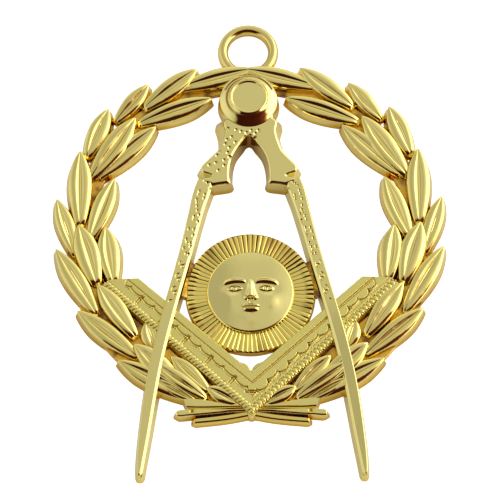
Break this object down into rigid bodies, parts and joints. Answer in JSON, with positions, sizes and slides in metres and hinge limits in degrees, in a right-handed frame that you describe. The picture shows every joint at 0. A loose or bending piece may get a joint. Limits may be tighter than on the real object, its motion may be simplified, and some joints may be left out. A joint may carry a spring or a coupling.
{
  "type": "masonic jewel",
  "caption": "Gold-plated collar jewel: a laurel wreath with square, sun and compasses on it, and a round ring to hang it by.",
  "frame": {"origin": "on the flat back, under the middle of the outline", "axes": "+Z is the outward normal of the worked face, +Y runs up to the hanging ring, +X to the right"},
  "size_m": [0.0662, 0.0822, 0.0044],
  "materials": {
    "leaf_gold": "polished gold plate",
    "bright_gold": "polished gold plate",
    "sun_gold": "polished gold plate"
  },
  "bodies": {
    "root": {"wreath": "leaf_gold", "ribbon": "leaf_gold", "builders_square": "bright_gold", "sun": "sun_gold", "compasses": "bright_gold", "pivot_boss": "bright_gold", "hanging_ring": "bright_gold"}
  },
  "joints": []
}
